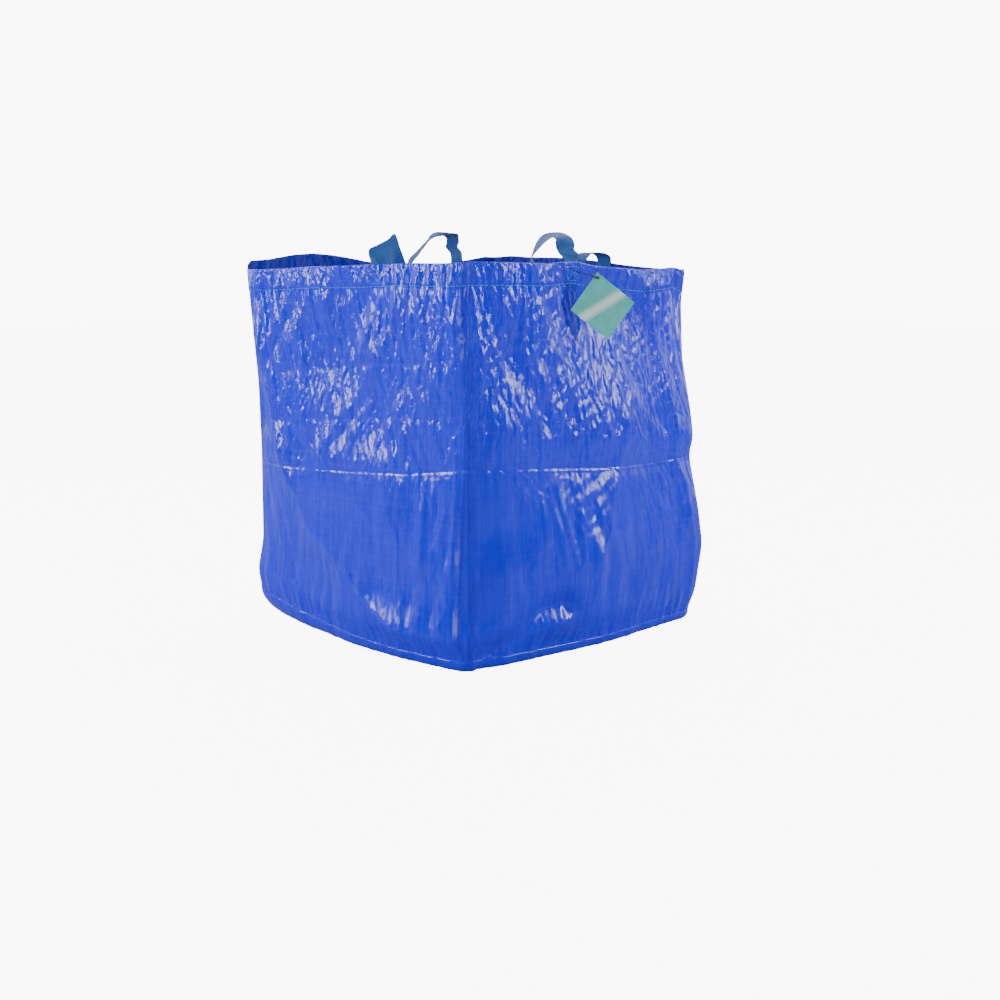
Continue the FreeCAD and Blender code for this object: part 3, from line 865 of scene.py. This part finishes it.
def base_points():
    """The base: flat on the floor, curling up at its border to the seam."""
    rings = []
    levels = np.concatenate([np.linspace(0.0, 0.94, 24), np.linspace(CURL_START, 1.0, 14)])
    per = 64
    across = np.linspace(-1, 1, per + 1)[:-1]
    for level in levels:
        ring = []
        for face in range(4):
            edge_line = base_edge(face, across)
            seam_z = edge_line[:, 2:]
            # where the seam is higher, the flat part ends farther in
            flat = edge_line[:, :2] * (1 - 0.26 * (seam_z / max(SEAM_HEIGHTS)) ** 1.5)
            if level < CURL_START:
                plan = flat * level / CURL_START
                height = np.full((per, 1), BASE_HEIGHT)
            else:
                turn = (level - CURL_START) / 0.05 * math.pi / 2
                swell = OUTWARDS[face] * 0.8 * math.sin(2 * turn)
                plan = flat + (edge_line[:, :2] - flat) * math.sin(turn) + swell
                height = BASE_HEIGHT + (seam_z - BASE_HEIGHT) * (1 - math.cos(turn))
            ring.append(np.concatenate([plan, height], 1))
        rings.append(np.concatenate(ring))
    return np.stack(rings)


rings = base_points()
# the flat part lifts off the floor a little here and there
lift = 1.2 * (noise(rings[..., 0] / 30 + 50, rings[..., 1] / 30 + 50, 321) - 0.5) * 2
rings[..., 2] += np.clip(lift, 0, None) * np.linspace(1, 0, len(rings))[:, None]
grid = np.concatenate([rings, rings[:, :1]], 1)
normals = -grid_normals(grid)
normals[:3] = (0, 0, -1)
base = cloth_object("base_cloth", grid, normals, FABRIC, grid, np.zeros(grid.shape[:2]))
base.data.materials.append(cloth_material)
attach(base, "bag")
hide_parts("base_panel")

# base seams: a rolled edge along each side
for face in range(4):
    line = outers[face][0]
    pile = Pile()
    path = resample(line[1:-1], 3.0) - outward(face) * 0.35
    wobble = 0.25 * (noise(path[:, 0] / 7 + 90, path[:, 1] / 7 + 90, 55) - 0.5)
    points, faces = tube(path + np.array([0, 0, 1.0]) * wobble[:, None], 0.55, 8, 1.2)
    pile.add(points, faces)
    pile.build(FACES[face] + "_base_piping", seam_material, FACES[face] + "_base_seam")

# the row of stitches along the hem
pile = Pile()
for face in range(4):
    outer = outers[face]
    line = surface_line(outer, outer[-1][:, 2] - HEM + 3.0)
    stitches(pile, line[3:-3], outward(face))
pile.build("hem_thread", thread_material, "hem_stitching")

# handles
left = strap("left_strap", LEFT_FIRST, LEFT_SECOND, 61)
right = strap("right_strap", RIGHT_FIRST, RIGHT_SECOND, 62)
# a short span at each strap's hinge, in metres
for piece, name, ends, span in (
    (left, "left_handle", ("side", "front"), 0.010),
    (right, "right_handle", ("side", "back"), 0.014),
):
    piece.data.materials.append(webbing_material)
    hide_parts(name, *("%s_%s_end" % (name, end) for end in ends))
    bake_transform(piece)


def spot(outer, across, down):
    """A point on the outside of a side: its place across, and mm below the rim."""
    column = []
    for row in range(ROWS - 40, ROWS + 1):
        column.append([np.interp(across, ACROSS, outer[row, :, k]) for k in range(3)])
    column = np.stack(column)
    return np.array([np.interp(column[-1, 2] - down, column[:, 2], column[:, k]) for k in range(3)])


# sewn boxes with a cross at the feet: their half width, and their top and bottom in mm below the rim
BOX_HALF = (WEBBING / 2 - 3.5) / HALF
BOX_TOP = 6.0
BOX_BOTTOM = 24.0
# the box's four sides and its two diagonals, between its corners
BOX_ROWS = ((0, 1), (1, 2), (2, 3), (3, 0), (0, 2), (1, 3))
BOX_PLACES = (
    ("left_handle_side", 3),
    ("left_handle_front", 0),
    ("right_handle_side", 1),
    ("right_handle_back", 2),
)
for name, face in BOX_PLACES:
    pile = Pile()
    out = outward(face)
    low, high = FOOT_PLACES[face] - BOX_HALF, FOOT_PLACES[face] + BOX_HALF
    corners = ((low, BOX_TOP), (high, BOX_TOP), (high, BOX_BOTTOM), (low, BOX_BOTTOM))
    for first, last in BOX_ROWS:
        (a0, d0), (a1, d1) = corners[first], corners[last]
        path = [spot(outers[face], a0 + (a1 - a0) * t, d0 + (d1 - d0) * t) for t in np.linspace(0, 1, 9)]
        stitches(pile, np.array(path) + out * 0.05, out, 3.2, 1.0, 0.36)
    pile.build(name + "_thread", thread_material, name + "_stitching")


# direction across the painted highlight band on the card, and the band's distance from the origin along it,
# in metres
HIGHLIGHT_ACROSS = (0.236, 0.444, -0.861)
HIGHLIGHT_OFFSET = 0.350


def tag_material():
    """Printed card: mottled aqua with one pale slanting band, a painted highlight."""
    n = Nodes("printed_card")
    place = n.new("ShaderNodeTexCoord").outputs["Object"]
    grain = n.noise(place, 900.0, 3.0)
    mottling = n.noise(place, 60.0, 2.0)
    tone = n.ramp(n.math("ADD", n.math("MULTIPLY", grain, 0.5), mottling), 0.5, 1.0)
    colour = n.mix(tone, (0.07, 0.42, 0.38, 1.0), (0.1, 0.5, 0.46, 1.0))
    # distance from the middle line of the painted highlight band, which crosses the card at a slant
    slant = n.new("ShaderNodeVectorMath", {0: place, 1: HIGHLIGHT_ACROSS}, operation="DOT_PRODUCT")
    highlight_band = n.math("ABSOLUTE", n.math("ADD", slant.outputs["Value"], HIGHLIGHT_OFFSET))
    colour = n.mix(n.ramp(highlight_band, 0.001, 0.009, 0.8, 0.0), colour, (0.75, 0.85, 0.78, 1.0))
    n.set(Base_Color=colour, Roughness=0.42, Normal=n.bump(grain, 0.15, 0.0002), IOR=1.45)
    return n.material


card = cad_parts["swing_tag"]
for card_slot in card.material_slots:
    card_slot.material = tag_material()

string.data.materials.append(nylon_material)
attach(string, "tag_string")
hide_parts("tag_string")
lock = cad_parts["tag_lock"]
for lock_slot in lock.material_slots:
    lock_slot.material = nylon_material


# ---------------------------------------------------------------- floor and light

def add_floor():
    """A wide pale floor, which looks almost white to the camera."""
    data = bpy.data.meshes.new("floor")
    reach = 9.0
    corners = [(-reach, -reach, 0), (reach, -reach, 0), (reach, reach, 0), (-reach, reach, 0)]
    data.from_pydata(corners, [], [(0, 1, 2, 3)])
    floor = bpy.data.objects.new("floor", data)
    bpy.context.scene.collection.objects.link(floor)
    n = Nodes("pale_floor")
    place = n.new("ShaderNodeTexCoord").outputs["Object"]
    n.set(Base_Color=n.mix(n.noise(place, 3.0), (0.4, 0.4, 0.41, 1), (0.44, 0.44, 0.44, 1)), Roughness=0.8)
    seen = n.new("ShaderNodeLightPath").outputs["Is Camera Ray"]
    n.set(Emission_Color=(1, 1, 1, 1), Emission_Strength=n.math("MULTIPLY", seen, 8.6))
    floor.data.materials.append(n.material)


def area(name, place, target, size, power):
    """A rectangular softbox that faces its target."""
    data = bpy.data.lights.new(name, "AREA")
    data.shape = "RECTANGLE"
    data.size, data.size_y = size
    data.energy = power
    light = bpy.data.objects.new(name, data)
    light.location = place
    light.rotation_euler = (Vector(target) - Vector(place)).to_track_quat("-Z", "Y").to_euler()
    bpy.context.scene.collection.objects.link(light)


add_floor()
area("left_softbox", (-1.5, -2.15, 0.95), (0, 0, 0.35), (0.6, 1.1), 56)
area("right_softbox", (2.15, 1.45, 1.0), (0, 0, 0.35), (0.6, 1.1), 50)
area("front_softbox", (1.0, -2.5, 0.75), (0, 0, 0.3), (1.1, 1.1), 23)
area("side_softbox", (2.5, -0.9, 0.75), (0, 0, 0.3), (1.1, 1.1), 7.5)
area("top_softbox", (0.3, -0.3, 2.7), (0, 0, 0.2), (2.2, 2.2), 18)

# the surroundings: white to the camera, and to the bag dark in front and bright behind
world = bpy.data.worlds.new("studio")
bpy.context.scene.world = world
world.use_nodes = True
tree = world.node_tree
background = tree.nodes["Background"]
background.inputs[1].default_value = 1.0
direction = tree.nodes.new("ShaderNodeTexCoord")
dot = tree.nodes.new("ShaderNodeVectorMath")
dot.operation = "DOT_PRODUCT"
dot.inputs[1].default_value = (-0.7071, 0.7071, 0.0)
tree.links.new(direction.outputs["Generated"], dot.inputs[0])
spread = tree.nodes.new("ShaderNodeMapRange")
spread.inputs["From Min"].default_value = 0.0
spread.inputs["From Max"].default_value = 0.6
spread.inputs["To Min"].default_value = 0.05
spread.inputs["To Max"].default_value = 2.2
tree.links.new(dot.outputs["Value"], spread.inputs["Value"])
path = tree.nodes.new("ShaderNodeLightPath")
pick = tree.nodes.new("ShaderNodeMix")
pick.data_type = "FLOAT"
tree.links.new(path.outputs["Is Camera Ray"], pick.inputs[0])
tree.links.new(spread.outputs[0], pick.inputs[2])
pick.inputs[3].default_value = 9.5
tree.links.new(pick.outputs[0], background.inputs[0])
